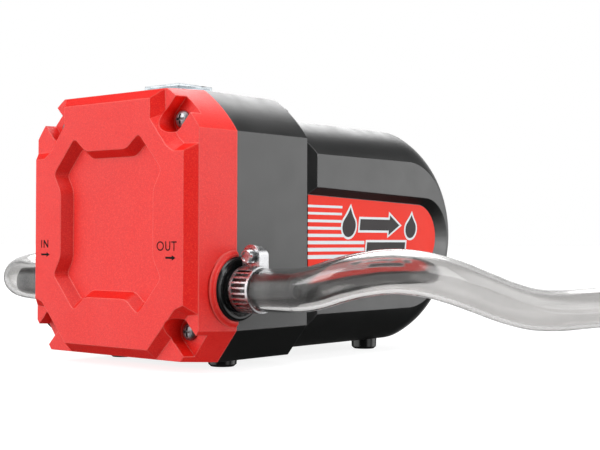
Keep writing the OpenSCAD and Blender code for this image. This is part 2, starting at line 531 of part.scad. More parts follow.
module commutator() color([0.76, 0.5, 0.26]) at() difference() {
  ycyl(9, my0 + 68, my0 + 82, 0, zd);
  ycyl(shaft_r, my0 + 67, my0 + 83, 0, zd);
  for (i = [0:7]) translate([0, my0 + 67, zd]) rotate([0, i * 45 + 22.5, 0]) translate([-0.3, 0, 7.6]) cube([0.6, 16, 3]);
}
module brushes() color([0.18, 0.17, 0.17]) at() for (s = [-1, 1]) difference() {
  translate([s > 0 ? 9 : -16, my0 + 72, zd - 3]) cube([7, 6, 6]);
  ycyl(9.15, my0 + 71, my0 + 79, 0, zd);
}
module brush_springs() color([0.8, 0.7, 0.4]) at() for (s = [-1, 1])
  xcyl(2.2, s > 0 ? 16.05 : -26.6, s > 0 ? 26.6 : -16.05, my0 + 75, zd);
module motor_screws() color(steel) at() for (a = [45, 135])
  y_screw(18 * cos(a), bulk0 + 2.4, zd + 18 * sin(a), 5.6, 2, 2.6, 5.8);

// ---- switch --------------------------------------------------------------------------

hy = sw_y + 10.7; hz = body_top + 1.7;      // the splash cover's hinge line
rz = body_top - 1.5;                        // the rocker's pivot
module switch_body() color([0.1, 0.1, 0.1]) at() difference() {
  union() {
    translate([-8.4, sw_y - 7.8, body_top - 19]) cube([16.8, 15.6, 20]);
    translate([-10, sw_y - 9.6, body_top + 0.05]) cube([20, 18.9, 1.4]);
    translate([-3.9, sw_y + 9, body_top + 0.05]) cube([7.8, 2.9, 1.4]);
    xcyl(1.25, -3.9, 3.9, hy, hz);
  }
  translate([-5.6, sw_y - 6.6, body_top - 9]) cube([11.2, 13.2, 12]);
  xcyl(1.05, -7.6, 7.6, sw_y, rz);
  xcyl(0.7, -5, 5, hy, hz);
}
// the rocker: a shallow V that rests with its front half up
module switch_rocker() color([0.12, 0.12, 0.12]) at() difference() {
  union() {
    translate([-5.3, sw_y, rz]) rotate([-8, 0, 0]) rotate([0, 90, 0]) linear_extrude(10.6)
      polygon([[3.6, -3.6], [0.4, -6.2], [-3.1, -6.1], [-2.2, -2.4], [-1.9, 0], [-2.2, 2.4], [-3.1, 6.1], [0.4, 6.2], [3.6, 3.6]]);
    xcyl(1.0, -7.4, 7.4, sw_y, rz);
  }
  // a raised line marks the on side
  translate([0, sw_y, rz]) rotate([-8, 0, 0]) translate([-0.5, -5.2, 2.5]) cube([1, 2.6, 2]);
}
// the clear splash cover, hinged at its back edge
module switch_cover() color([0.9, 0.95, 1, 0.4]) at() difference() {
  union() {
    translate([-10, sw_y - 9.6, body_top + 1.5]) cube([20, 18.9, 3.7]);
    for (x = [-9.6, 4.1]) {
      translate([x, sw_y + 9, hz - 0.2]) cube([5.5, 1.7, 1.4]);
      xcyl(1.2, x, x + 5.5, hy, hz);
    }
  }
  translate([-9.1, sw_y - 8.7, body_top + 1]) cube([18.2, 17.4, 3.4]);
  xcyl(0.65, -11, 11, hy, hz);
}
module cover_pin() color(steel) at() xcyl(0.65, -9.6, 9.6, hy, hz);
module switch_terminals() color([0.78, 0.7, 0.45]) at() for (s = [-1, 1])
  translate([s * 4 - 0.4, sw_y - 2.4, body_top - 27]) cube([0.8, 4.8, 8]);

// ---- feet and cable gland ------------------------------------------------------------

foot_xy = [[29, 35.5], [-29, 35.5], [24, 134.4], [-24, 134.4]];
module feet() color([0.06, 0.06, 0.06]) at() for (i = [0:3]) let (p = foot_xy[i], t = i < 2 ? body_bot : mc_z - mc_r - mc_sh)
  difference() {
    translate([p[0], p[1], 0]) rotate_extrude() polygon([[0, 0], [4.6, 0], [5.6, 0.9], [5.8, t], [0, t]]);
    zcyl(2.6, -1, 1.6, p[0], p[1]);
    zcyl(1.4, -1, t + 1, p[0], p[1]);
  }
module feet_screws() color(steel) at() for (i = [0:3]) let (p = foot_xy[i])
  translate([p[0], p[1], 1.6]) rotate([180, 0, 0]) pan_screw(4.6, 1.2, 2.4, 4.6);
module cable_gland() color([0.07, 0.07, 0.07]) at() difference() {
  union() {
    zcyl(3, 95.5, 100, 0, 103);
    translate([0, 103, mc_z + mc_r + mc_sh]) rotate_extrude() polygon([[0, 0], [5.6, 0], [5.4, 1.2], [4.6, 1.8], [4.2, 6], [3.9, 7.8], [3.4, 8.8], [2.6, 9.6], [1.9, 9.9], [0, 9.9]]);
  }
  zcyl(1.6, 103, 112, 0, 103);
}

front_cover();
cover_gasket();
cover_screws();
cover_inserts();
mid_housing();
motor_cover();
motor_cover_screws();
label_right();
label_left();
pump_block();
pump_plate();
plate_gasket();
plate_screws();
drive_gear();
idler_gear();
idler_pin();
motor_shaft();
gear_key();
shaft_seal();
block_screws();
inlet_port();
outlet_port();
port_seals();
inlet_clamp_band();
inlet_clamp_bridge();
inlet_clamp_screw();
outlet_clamp_band();
outlet_clamp_bridge();
outlet_clamp_screw();
inlet_hose();
inlet_coil();
outlet_hose();
outlet_coil();
motor_can();
motor_magnets();
motor_end_cap();
front_bearing();
rear_bearing();
armature_core();
armature_windings();
commutator();
brushes();
brush_springs();
motor_screws();
switch_body();
switch_rocker();
switch_cover();
cover_pin();
switch_terminals();
feet();
feet_screws();
cable_gland();
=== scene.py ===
import bpy, bmesh, math
from mathutils import Matrix, Vector


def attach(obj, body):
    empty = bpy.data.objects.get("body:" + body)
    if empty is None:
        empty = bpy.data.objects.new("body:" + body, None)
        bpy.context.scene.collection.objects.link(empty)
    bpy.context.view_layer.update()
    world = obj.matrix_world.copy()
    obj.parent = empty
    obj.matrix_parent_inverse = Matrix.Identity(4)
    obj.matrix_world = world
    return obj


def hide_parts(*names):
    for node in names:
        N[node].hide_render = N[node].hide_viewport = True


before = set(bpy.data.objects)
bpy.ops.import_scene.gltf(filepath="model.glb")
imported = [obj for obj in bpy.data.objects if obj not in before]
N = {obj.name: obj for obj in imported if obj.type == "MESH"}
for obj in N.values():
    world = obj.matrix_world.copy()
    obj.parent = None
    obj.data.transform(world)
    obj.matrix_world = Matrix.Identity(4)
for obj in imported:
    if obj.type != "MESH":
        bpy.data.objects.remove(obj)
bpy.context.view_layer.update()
MM = 0.001
YF = -93.5                     # the raised front face, in mm


def P(x, y, z):
    """A point in millimetres, y measured from the raised front face, in the row frame."""
    return Vector((x * MM, (y + YF) * MM, z * MM))


def lin(c):
    out = []
    for v in c:
        v = v / 255.0
        out.append(v / 12.92 if v <= 0.04045 else ((v + 0.055) / 1.055) ** 2.4)
    return (*out, 1.0)


# ---- materials ---------------------------------------------------------------

class Mat:
    def __init__(self, name):
        self.m = bpy.data.materials.new(name)
        self.m.use_nodes = True
        self.t = self.m.node_tree
        self.b = self.t.nodes["Principled BSDF"]
        self.co = self.t.nodes.new("ShaderNodeTexCoord").outputs["Object"]

    def new(self, kind, **inputs):
        n = self.t.nodes.new(kind)
        for k, v in inputs.items():
            n.inputs[k].default_value = v
        return n

    def link(self, a, b):
        self.t.links.new(a, b)

    def noise(self, scale, detail=3.0, rough=0.55, stretch=None):
        n = self.new("ShaderNodeTexNoise", Scale=scale, Detail=detail, Roughness=rough)
        if stretch:
            mp = self.t.nodes.new("ShaderNodeMapping")
            mp.inputs["Scale"].default_value = stretch
            self.link(self.co, mp.inputs["Vector"])
            self.link(mp.outputs["Vector"], n.inputs["Vector"])
        else:
            self.link(self.co, n.inputs["Vector"])
        return n.outputs["Fac"]

    def ramp(self, fac, a, b, va, vb):
        n = self.t.nodes.new("ShaderNodeMapRange")
        n.inputs["From Min"].default_value = a
        n.inputs["From Max"].default_value = b
        n.inputs["To Min"].default_value = va
        n.inputs["To Max"].default_value = vb
        n.clamp = True
        self.link(fac, n.inputs["Value"])
        return n.outputs["Result"]

    def mix(self, fac, a, b):
        n = self.t.nodes.new("ShaderNodeMix")
        n.data_type = "RGBA"
        if hasattr(fac, "is_output"):
            self.link(fac, n.inputs[0])
        else:
            n.inputs[0].default_value = fac
        for sock, v in ((n.inputs[6], a), (n.inputs[7], b)):
            if hasattr(v, "is_output"):
                self.link(v, sock)
            else:
                sock.default_value = v
        return n.outputs[2]

    def bevel(self, radius):
        n = self.t.nodes.new("ShaderNodeBevel")
        n.samples = 4
        n.inputs["Radius"].default_value = radius
        return n.outputs["Normal"]

    def soft(self, small, large=0.0017):
        """A normal that runs smoothly over shallow bends and keeps true edges tight."""
        a, b = self.bevel(small), self.bevel(large)
        g = self.t.nodes.new("ShaderNodeNewGeometry")
        d = self.t.nodes.new("ShaderNodeVectorMath")
        d.operation = "DOT_PRODUCT"
        self.link(b, d.inputs[0])
        self.link(g.outputs["Normal"], d.inputs[1])
        shallow = self.ramp(d.outputs["Value"], 0.9975, 0.9992, 0.0, 1.0)
        n = self.t.nodes.new("ShaderNodeMix")
        n.data_type = "VECTOR"
        self.link(shallow, n.inputs[0])
        self.link(a, n.inputs[4])
        self.link(b, n.inputs[5])
        return a, n.outputs[1]

    def edge(self, bev, lo=0.9, hi=0.995):
        """1 on edges, 0 on flats."""
        g = self.t.nodes.new("ShaderNodeNewGeometry")
        d = self.t.nodes.new("ShaderNodeVectorMath")
        d.operation = "DOT_PRODUCT"
        self.link(bev, d.inputs[0])
        self.link(g.outputs["Normal"], d.inputs[1])
        return self.ramp(d.outputs["Value"], lo, hi, 1.0, 0.0)

    def bump(self, height, distance, strength=1.0, normal=None):
        n = self.t.nodes.new("ShaderNodeBump")
        n.inputs["Distance"].default_value = distance
        n.inputs["Strength"].default_value = strength
        self.link(height, n.inputs["Height"])
        if normal is not None:
            self.link(normal, n.inputs["Normal"])
        self.link(n.outputs["Normal"], self.b.inputs["Normal"])
        return n.outputs["Normal"]

    def color(self, out):
        self.link(out, self.b.inputs["Base Color"])

    def rough(self, out):
        self.link(out, self.b.inputs["Roughness"])

    def set(self, **kw):
        for k, v in kw.items():
            self.b.inputs[k.replace("_", " ")].default_value = v
        return self


def plastic(name, rgb, rough=0.4, grain=2600, depth=0.00004, strength=0.5, mottle=0.08, radius=0.0005,
            worn_highlit_edge_rgb=None, edge_amount=0.5, spec=0.5, wear_and_highlight_break=0.3, shallow=False):
    m = Mat(name)
    base = lin(rgb)
    dark = tuple(c * (1 - mottle) for c in base[:3]) + (1,)
    light = tuple(min(1, c * (1 + mottle)) for c in base[:3]) + (1,)
    big = m.noise(38, 4)
    fine = m.noise(grain, 2, 0.5)
    col = m.mix(m.ramp(big, 0.35, 0.65, 0, 1), dark, light)
    col = m.mix(m.ramp(fine, 0.42, 0.72, 0, 0.35), col, tuple(min(1, c * 1.35 + 0.004) for c in base[:3]) + (1,))
    bev, run = m.soft(radius) if shallow else (m.bevel(radius), None)
    # paler edges, broken up by a noise patch: partly wear, partly painted highlight along the edges
    if worn_highlit_edge_rgb:
        patch = m.ramp(m.noise(320, 3), 0.35, 0.62, 1 - wear_and_highlight_break, 1)
        e = m.t.nodes.new("ShaderNodeMath"); e.operation = "MULTIPLY"
        m.link(m.edge(bev), e.inputs[0]); m.link(patch, e.inputs[1])
        e2 = m.t.nodes.new("ShaderNodeMath"); e2.operation = "MULTIPLY"
        m.link(e.outputs[0], e2.inputs[0]); e2.inputs[1].default_value = edge_amount
        col = m.mix(e2.outputs[0], col, lin(worn_highlit_edge_rgb))
    m.color(col)
    m.rough(m.ramp(m.noise(90, 3), 0.3, 0.7, rough - 0.05, rough + 0.05))
    m.bump(fine, depth, strength, run or bev)
    m.set(Specular_IOR_Level=spec)
    return m.m


def grained(name, rgb, light, deep, rough=0.4, spec=0.35):
    """Moulded plastic with a spark-eroded face: a fine speckle of lit and shaded pits, paler edges that are partly
    wear and partly painted highlight.
    """
    m = Mat(name)
    base = lin(rgb)
    big = m.noise(26, 4)
    fine = m.noise(2500, 2, 0.6)
    mid = m.noise(900, 2, 0.5)
    col = m.mix(m.ramp(big, 0.35, 0.65, 0, 1), tuple(c * 0.96 for c in base[:3]) + (1,), base)
    col = m.mix(m.ramp(fine, 0.5, 0.76, 0, 0.8), col, lin(light))
    col = m.mix(m.ramp(fine, 0.5, 0.3, 0, 0.35), col, lin(deep))
    col = m.mix(m.ramp(mid, 0.5, 0.3, 0, 0.25), col, lin(deep))
    bev, run = m.soft(0.0006)
    # paler edges: partly wear, partly painted highlight along the edges
    col = m.mix(m.ramp(m.edge(bev), 0, 1, 0, 0.4), col, lin((255, 150, 138)))
    m.color(col)
    m.rough(m.ramp(m.noise(90, 3), 0.3, 0.7, rough - 0.05, rough + 0.05))
    m.bump(fine, 0.00011, 0.8, run)
    m.set(Specular_IOR_Level=spec)
    return m.m


def two_tone(name, near, far, split, span, rough_near, rough_far):
    """One moulding: glossy and dark out to |x| = split, a paler, duller colour beyond it."""
    m = Mat(name)
    sep = m.t.nodes.new("ShaderNodeSeparateXYZ")
    m.link(m.co, sep.inputs[0])
    ab = m.t.nodes.new("ShaderNodeMath"); ab.operation = "ABSOLUTE"
    m.link(sep.outputs["X"], ab.inputs[0])
    fine = m.noise(2600, 2, 0.5)
    out = m.ramp(ab.outputs[0], split, split + 0.0004, 0, 1)
    # the outer end of the barb, inside the hose, darkens to a sixth of the grey: painted shade
    painted_tip_shade = m.ramp(ab.outputs[0], split + span * 0.6, split + span * 0.76, 0, 0.92)
    grey = m.mix(painted_tip_shade, lin(far), lin(tuple(v * 0.16 for v in far)))
    grey = m.mix(m.ramp(fine, 0.45, 0.7, 0, 0.3), grey, lin(tuple(min(255, v * 1.15) for v in far)))
    bev = m.bevel(0.0004)
    col = m.mix(out, m.mix(m.ramp(fine, 0.4, 0.7, 0, 0.4), lin(near), lin(tuple(v + 8 for v in near))), grey)
    # paler edges: partly wear, partly painted highlight along the edges
    col = m.mix(m.ramp(m.edge(bev), 0, 1, 0, 0.25), col, lin((150, 150, 152)))
    m.color(col)
    m.rough(m.ramp(out, 0, 1, rough_near, rough_far))
    m.bump(fine, 0.00002, 0.35, bev)
    return m.m


def metal(name, rgb, rough=0.3, brush=None, edge=1.25, dirt=0.35, radius=0.0002):
    m = Mat(name)
    base = lin(rgb)
    streak = m.noise(900, 3, 0.6, stretch=brush or (1, 1, 1))
    tone = m.mix(m.ramp(m.noise(160, 4), 0.3, 0.7, 0, dirt), base, tuple(c * 0.55 for c in base[:3]) + (1,))
    bev = m.bevel(radius)
    # brighter edges: partly wear, partly painted highlight along the edges
    tone = m.mix(m.ramp(m.edge(bev), 0, 1, 0, 0.6), tone, tuple(min(1, c * edge) for c in base[:3]) + (1,))
    m.color(tone)
    m.rough(m.ramp(streak, 0.3, 0.7, rough - 0.08, rough + 0.1))
    m.bump(streak, 0.000015, 0.5, bev)
    m.set(Metallic=1.0)
    return m.m


def clear(name, rgb, rough=0.03, ior=1.45, wave=0.0003, through=1.0, rim=None, spec=0.5):
    m = Mat(name)
    ripple = m.noise(55, 2)
    col = m.mix(m.ramp(m.noise(30, 3), 0.3, 0.7, 0, 1), lin(rgb), lin(tuple(min(255, v + 6) for v in rgb)))
    # a darker line along the edges of the clear piece: painted shade of the dark edge lines a clear moulding shows
    if rim:
        col = m.mix(m.edge(m.bevel(0.0005), 0.86, 0.99), col, lin(rim))
    m.color(col)
    m.rough(m.ramp(m.noise(240, 3), 0.35, 0.7, rough, rough + 0.05))
    m.bump(ripple, wave, 0.25)
    m.set(Transmission_Weight=through, IOR=ior, Specular_IOR_Level=spec)
    return m.m


M = {
    "red": grained("red_abs", (222, 15, 8), (238, 64, 40), (192, 8, 6), rough=0.4, spec=0.42),
    "black": plastic("black_abs", (18, 19, 19), rough=0.33, grain=3000, depth=0.00004, strength=0.4, mottle=0.08,
                     worn_highlit_edge_rgb=(120, 120, 122), edge_amount=0.4, spec=0.8, shallow=True),
    "gloss": plastic("black_gloss", (18, 18, 19), rough=0.16, grain=1800, depth=0.00001, strength=0.2, mottle=0.1,
                     worn_highlit_edge_rgb=(70, 70, 72), edge_amount=0.25),
    "grey": plastic("grey_nylon", (86, 88, 90), rough=0.4, grain=2600, depth=0.00003, strength=0.4,
                    worn_highlit_edge_rgb=(150, 150, 150), edge_amount=0.3),
    "port": two_tone("port_nylon", (12, 12, 13), (84, 86, 86), 0.0506, 0.0262, 0.14, 0.4),
    "rubber": plastic("black_rubber", (28, 28, 28), rough=0.62, grain=2400, depth=0.00006, strength=0.6),
    "label": plastic("red_label", (222, 40, 20), rough=0.36, grain=5200, depth=0.00001, strength=0.2, mottle=0.02, radius=0.0002, spec=0.14),
    "white_ink": plastic("white_ink", (204, 211, 214), rough=0.35, grain=5200, depth=0.00001, strength=0.2, mottle=0.02, radius=0.0001),
    "black_ink": plastic("black_ink", (10, 7, 7), rough=0.6, grain=5200, depth=0.00001, strength=0.2, mottle=0.1, radius=0.0001, spec=0.1),
    "dark_ink": plastic("dark_ink", (44, 40, 41), rough=0.45, grain=5200, depth=0.00001, strength=0.2, mottle=0.05, radius=0.0001, spec=0.2),
    "steel": metal("steel", (150, 151, 154), rough=0.42, brush=(1, 12, 1), dirt=0.25),
    "bright": metal("bright_steel", (200, 201, 203), rough=0.27, brush=(1, 8, 1), dirt=0.18),
    "dull": metal("machined_steel", (150, 150, 152), rough=0.36),
    "zinc": metal("zinc_plate", (158, 160, 163), rough=0.38, dirt=0.5),
    "brass": metal("brass", (212, 176, 98), rough=0.28),
    "copper": metal("enamelled_copper", (190, 104, 58), rough=0.34, brush=(1, 1, 6)),
    "ferrite": plastic("ferrite", (60, 60, 62), rough=0.6, grain=1600, depth=0.00008, strength=0.7),
    "vinyl": clear("clear_vinyl", (214, 213, 212), rough=0.05, ior=1.42, through=0.99, spec=0.2),
    "lid": clear("clear_lid", (226, 233, 237), rough=0.0, ior=1.15, wave=0.00001, rim=(120, 126, 130)),
}

USE = {
    "red": ["front_cover"],
    "black": ["mid_housing", "motor_cover", "cable_gland"],
    "gloss": ["switch_body", "switch_rocker", "feet", "motor_end_cap"],
    "port": ["inlet_port", "outlet_port"],
    "grey": ["pump_block"],
    "rubber": ["cover_gasket", "plate_gasket", "shaft_seal", "port_seals"],
    "label": ["label_right", "label_left"],
    "steel": ["cover_screws", "motor_cover_screws", "plate_screws", "block_screws", "motor_screws", "feet_screws", "cover_pin", "brush_springs"],
    "bright": ["inlet_clamp_band", "inlet_clamp_bridge", "inlet_clamp_screw", "outlet_clamp_band", "outlet_clamp_bridge", "outlet_clamp_screw"],
    "dull": ["gear_key", "motor_shaft", "idler_pin", "front_bearing", "rear_bearing", "armature_core", "drive_gear", "idler_gear"],
    "zinc": ["pump_plate", "motor_can"],
    "brass": ["cover_inserts", "switch_terminals", "commutator"],
    "copper": ["armature_windings"],
    "ferrite": ["motor_magnets", "brushes"],
    "lid": ["switch_cover"],
    "vinyl": ["inlet_hose", "inlet_coil", "outlet_hose", "outlet_coil"],
}
for key, names in USE.items():
    for n in names:
        o = N[n]
        o.data.materials.clear()
        o.data.materials.append(M[key])


def piece(name, verts, faces, mat, body="pump", smooth=False):
    me = bpy.data.meshes.new(name)
    me.from_pydata([tuple(v) for v in verts], [], faces)
    me.validate()
    me.update()
    o = bpy.data.objects.new(name, me)
    bpy.context.scene.collection.objects.link(o)
    me.materials.append(mat)
    if smooth:
        for p in me.polygons:
            p.use_smooth = True
    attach(o, body)
    return o


# ---- hoses -------------------------------------------------------------------

HD, HT = 16.0, 1.75
SEAM, PZ, COIL_R = 23.2, 31.1, 60.0
IN_ROUTE = [(-50.3, SEAM, PZ), (-64, SEAM, PZ), (-76.2, SEAM + 0.1, PZ + 0.2), (-87.4, 26.8, 32.2), (-95.6, 35, 33.8),
            (-99.2, 46.8, 35.4), (-97.4, 58.8, 35.8), (-92, 69, 34.8), (-86, 79, 32.6), (-80, 88.8, 29.8),
            (-74.2, 98.2, 27), (-68.6, 107.6, 24.9), (-63, 117.3, 24.2)]
OUT_ROUTE = [(50.3, SEAM, PZ), (64, SEAM, PZ), (78, SEAM + 0.1, PZ + 0.4), (86, 24.1, 32.8), (93.5, 26.2, 35.2), (101.6, 30.2, 37.4),
             (109.8, 36.8, 38.6), (117, 46, 37.6), (121.8, 58.6, 34.4), (124.2, 72, 30.6), (126.6, 86, 26.6), (129.2, 100, 23.6), (132, 115, 22.4),
             (135.6, 129.8, 22.6), (141, 143.6, 23.2), (147.2, 156.2, 23.8), (153.8, 168, 24.2), (160.8, 179.6, 24.2)]
IN_COIL, OUT_COIL = (-115.4, 146.4), (212.8, 149.6)


def catmull(pts, n):
    out = []
    m = len(pts)
    for i in range(m - 1):
        a, b, c, d = (Vector(pts[k]) for k in (max(i - 1, 0), i, i + 1, min(i + 2, m - 1)))
        for k in range(n):
            t = k / n
            out.append(0.5 * (2 * b + (c - a) * t + (2 * a - 5 * b + 4 * c - d) * t * t + (3 * b - 3 * c + d - a) * t ** 3))
    out.append(Vector(pts[-1]))
    return out


def coil_points(end, centre, way, low=8.2, last=612.0):
    """Two layers of turns: the hose comes in on the upper one, which lies on the lower, and steps down between its ends."""
    a0 = math.atan2(end.y - centre[1], end.x - centre[0])
    out = []
    n = int(last / 6)
    for i in range(1, n + 1):
        d = last * i / n
        u = min(1.0, max(0.0, (d - 250.0) / 55.0))
        z = end.z + (low - end.z) * u * u * (3 - 2 * u)
        a = a0 + way * math.radians(d)
        out.append(Vector((centre[0] + COIL_R * math.cos(a), centre[1] + COIL_R * math.sin(a), z)))
    return out


def tube(name, line, mat):
    """A hollow hose swept along the line, with cut ends."""
    sides = 28
    verts, faces = [], []
    up = Vector((0, 0, 1))
    m = len(line)
    frames = []
    for i in range(m):
        t = (line[min(i + 1, m - 1)] - line[max(i - 1, 0)]).normalized()
        u = up.cross(t).normalized()
        frames.append((u, t.cross(u)))
    profile = [HD / 2 - HT, HD / 2 - 0.25, HD / 2]
    for r, shift in ((HD / 2, 0), (HD / 2 - HT, 0)):
        for i in range(m):
            u, v = frames[i]
            for k in range(sides):
                a = 2 * math.pi * k / sides
                w = line[i] + r * (math.cos(a) * u + math.sin(a) * v)
                verts.append(P(*w))
    for i in range(m - 1):
        for k in range(sides):
            a, b = i * sides + k, i * sides + (k + 1) % sides
            faces.append((a, b, b + sides, a + sides))
            a += m * sides; b += m * sides
            faces.append((a, a + sides, b + sides, b))
    for k in range(sides):
        a, b = k, (k + 1) % sides
        c, d = a + m * sides, b + m * sides
        faces.append((a, c, d, b))
        o = (m - 1) * sides
        faces.append((a + o, b + o, d + o, c + o))
    ob = piece(name, verts, faces, mat, smooth=True)
    return ob


for side, route, centre, way in (("inlet", IN_ROUTE, IN_COIL, 1), ("outlet", OUT_ROUTE, OUT_COIL, -1)):
    line = catmull(route, 6)
    line += coil_points(line[-1], centre, way)
    hose = tube(side + "_clear_hose", line, M["vinyl"])
    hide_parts(side + "_hose", side + "_coil")
    pts = [P(*p) for p in line]
    length = sum((pts[i + 1] - pts[i]).length for i in range(len(pts) - 1))
    print(side, "hose length", round(length, 4))

# ---- printed marks -----------------------------------------------------------------


def printed(name, loops, place, mat, thick=0.06):
    """A thin printed layer: closed loops in millimetres, holes included, put on a surface by place(u, v, w)."""
    cu = bpy.data.curves.new(name + "_outline", "CURVE")
    cu.dimensions = "2D"
    cu.fill_mode = "BOTH"
    cu.extrude = thick / 2
    for lp in loops:
        sp = cu.splines.new("POLY")
        sp.points.add(len(lp) - 1)
        for q, (u, v) in zip(sp.points, lp):
            q.co = (u, v, 0, 1)
        sp.use_cyclic_u = True
    tmp = bpy.data.objects.new(name + "_outline", cu)
    bpy.context.scene.collection.objects.link(tmp)
    bpy.context.view_layer.update()
    me = bpy.data.meshes.new_from_object(tmp.evaluated_get(bpy.context.evaluated_depsgraph_get()))
    bpy.data.objects.remove(tmp)
    bpy.data.curves.remove(cu)
    bm = bmesh.new()
    bm.from_mesh(me)
    bmesh.ops.remove_doubles(bm, verts=bm.verts, dist=1e-5)
    for v in bm.verts:
        v.co = place(v.co.x, v.co.y, v.co.z + thick / 2)
    bmesh.ops.recalc_face_normals(bm, faces=bm.faces)
    bm.to_mesh(me)
    bm.free()
    me.name = name
    me.materials.clear()
    me.materials.append(mat)
    o = bpy.data.objects.new(name, me)
    bpy.context.scene.collection.objects.link(o)
    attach(o, "pump")
    return o


def ring(cx, cy, rx, ry, n=28, a0=0, a1=360):
    return [(cx + rx * math.cos(math.radians(a0 + (a1 - a0) * k / n)), cy + ry * math.sin(math.radians(a0 + (a1 - a0) * k / n)))
            for k in range(n if a1 - a0 == 360 else n + 1)]


def grown(loop, d):
    """A counter-clockwise outline moved outwards by d."""
    out = []
    n = len(loop)
    for i in range(n):
        a, b, c = (Vector(loop[k % n]) for k in (i - 1, i, i + 1))
        u, v = (b - a).normalized(), (c - b).normalized()
        nu, nv = Vector((u.y, -u.x)), Vector((v.y, -v.x))
        q = b + (nu + nv) * (d / max(0.55, 1 + nu.dot(nv)))
        out.append((q.x, q.y))
    return out


def face(u, v, w):
    return P(u, -w, v)


def letter_i(x, z, h, t):
    return [[(x, z), (x + t, z), (x + t, z + h), (x, z + h)]]


def letter_n(x, z, w, h, t):
    return [[(x, z), (x + t, z), (x + t, z + h - 2.1 * t), (x + w - t, z), (x + w, z), (x + w, z + h), (x + w - t, z + h),
             (x + w - t, z + 2.1 * t), (x + t, z + h), (x, z + h)]]


def letter_t(x, z, w, h, t):
    m = x + w / 2
    return [[(m - t / 2, z), (m + t / 2, z), (m + t / 2, z + h - t), (x + w, z + h - t), (x + w, z + h), (x, z + h), (x, z + h - t), (m - t / 2, z + h - t)]]


def letter_u(x, z, w, h, t):
    r = w / 2
    outer = ring(x + r, z + r, r, r, 14, 180, 360)
    inner = ring(x + r, z + r, r - t, r - t, 14, 360, 180)
    return [outer + [(x + w, z + h), (x + w - t, z + h)] + inner + [(x + t, z + h), (x, z + h)]]


def letter_o(x, z, w, h, t):
    return [ring(x + w / 2, z + h / 2, w / 2, h / 2), ring(x + w / 2, z + h / 2, w / 2 - t, h / 2 - t)]


def arrow(x, z, w, t, head, hh):
    return [[(x, z - t / 2), (x + w - head, z - t / 2), (x + w - head, z - hh / 2), (x + w, z), (x + w - head, z + hh / 2), (x + w - head, z + t / 2), (x, z + t / 2)]]


T = 0.47
printed("inlet_word", letter_i(-39.1, 46.05, 3.15, T) + letter_n(-37.5, 46.05, 2.9, 3.15, T), face, M["black_ink"])
printed("inlet_arrow", arrow(-39.1, 43.3, 5.4, 0.76, 1.95, 1.9), face, M["black_ink"])
printed("outlet_word", letter_o(29.1, 45.4, 3.8, 3.5, T) + letter_u(33.7, 45.4, 2.6, 3.5, T) + letter_t(36.9, 45.4, 2.7, 3.5, T), face,
        M["black_ink"])
printed("outlet_arrow", arrow(33.8, 42.85, 5.3, 0.76, 1.95, 1.9), face, M["black_ink"])


def drop(cx, cy, r, tall):
    """A drop, counter-clockwise: a round bottom and a pointed top."""
    out = []
    for k in range(41):
        a = math.radians(-230 + 280 * k / 40)
        out.append((cx + r * math.cos(a), cy + r * math.sin(a)))
    q = out[-1]
    out += [(cx + (q[0] - cx) * (1 - t) ** 1.25, q[1] + (cy + tall - q[1]) * t) for t in (0.25, 0.5, 0.75)]
    out.append((cx, cy + tall))
    q = out[0]
    out += [(cx + (q[0] - cx) * (1 - t) ** 1.25, q[1] + (cy + tall - q[1]) * t) for t in (0.75, 0.5, 0.25)]
    return out


def slanted(loop, y0, k=0.14):
    return [(a + (b - y0) * k, b) for a, b in loop]


def label_marks(side):
    """A plain fluid graphic on each label: stripes, a drop, an arrow and a bar. It stands for the printed name."""
    s = 1 if side == "right" else -1

    def place(u, v, w):
        return P(s * (42.4 + w), u, v)

    stripes = []
    tops = [64.0, 61.05, 58.0, 55.05, 52.1, 49.2, 46.3, 43.35]
    wide = [1.05, 1.05, 1.15, 1.25, 1.35, 1.45, 1.55, 1.65]
    ends = [94.5, 94.2, 94, 94, 96, 110, 110, 110]
    for z, t, e in zip(tops, wide, ends):
        stripes.append([(71.5, z - t), (e, z - t), (e, z), (71.5, z)])
    white = []
    dark = []
    d = slanted(drop(98.4, 55.4, 4.6, 8.2), 50)
    white.append(grown(d, 1.0)); dark.append(d)
    a = slanted([(106.0, 53.8), (127.6, 53.8), (127.6, 51.8), (135.4, 56.2), (127.6, 60.6), (127.6, 58.6), (106.0, 58.6)], 50)
    white.append(grown(a, 1.0)); dark.append(a)
    d = slanted(drop(144.5, 54.6, 4.1, 6.6), 50)
    white.append(grown(d, 1.0)); dark.append(d)
    b = slanted([(112.2, 43.4), (141, 43.4), (141, 48.6), (112.2, 48.6)], 50)
    white.append(grown(b, 1.0)); dark.append(b)
    for k, st in enumerate(stripes):
        printed("label_%s_stripe_%d" % (side, k + 1), [st], place, M["white_ink"], 0.04)
    for k, (w_, d_) in enumerate(zip(white, dark)):
        printed("label_%s_edge_%d" % (side, k + 1), [w_], place, M["white_ink"], 0.06)
        printed("label_%s_mark_%d" % (side, k + 1), [d_], lambda u, v, w: place(u, v, w + 0.02), M["dark_ink"], 0.07)


label_marks("right")
label_marks("left")

# ---- floor, light, camera -------------------------------------------------------

SOFTBOXES = (
    ((-0.643, -0.766, 0.06), 24, 44, 1.55),     # in front: lights the raised face
    ((0.643, 0.766, 0.08), 16, 34, 1.9),       # behind on the right: lights the long side
    ((0.97, -0.05, 0.05), 12, 28, 1.2),        # on the right: lights the shallow end of the label's recess
    ((-0.46, 0.7, 0.62), 10, 20, 4.2),         # high behind on the left: runs along the upper slopes
    ((-0.62, 0.76, 0.05), 12, 30, 0.9),        # low behind on the left: lights the round end
    ((0.1, 0.0, 1.0), 12, 34, 1.2),            # overhead
)

